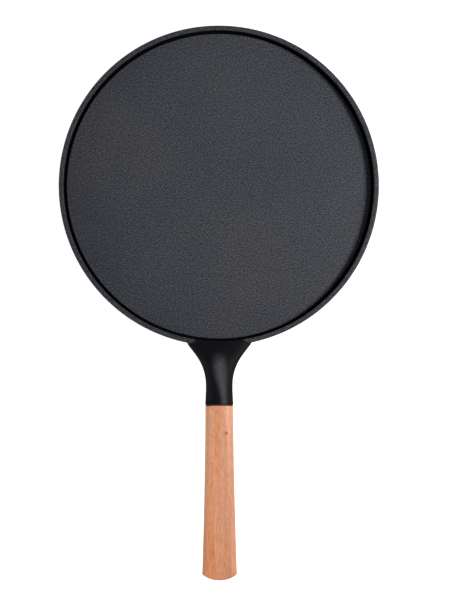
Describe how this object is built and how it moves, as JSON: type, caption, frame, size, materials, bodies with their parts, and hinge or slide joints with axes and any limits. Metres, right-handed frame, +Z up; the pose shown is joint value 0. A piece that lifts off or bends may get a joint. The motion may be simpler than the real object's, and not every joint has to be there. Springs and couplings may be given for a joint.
{
  "type": "griddle pan",
  "caption": "Flat round griddle pan with a narrow gutter and low rim, its cast neck rising into a straight wooden handle; for thin pancakes and searing on a hob.",
  "frame": {"origin": "centre of the flat underside, on the surface the pan stands on", "axes": "+Z up out of the cooking face, -Y from the plate's centre along the handle, +X to the right when looking along +Y from the handle"},
  "size_m": [0.28, 0.4811, 0.0506],
  "materials": {
    "black_enamel": "matt black enamel, finely grained on the plate and rim, smoother on the neck and underside",
    "beech": "steamed beech, sanded and oiled, satin",
    "red_fibre": "matt heat-resistant fibre",
    "bush_steel": "turned steel",
    "bolt_steel": "plated steel",
    "ring_steel": "spring steel",
    "washer_steel": "zinc-plated steel"
  },
  "bodies": {
    "root": {"pan_body": "black_enamel", "thread_insert": "bush_steel", "heat_washer": "red_fibre", "wood_handle": "beech", "butt_plug": "beech", "tie_bolt": "bolt_steel", "spring_washer": "ring_steel", "flat_washer": "washer_steel"}
  },
  "joints": []
}
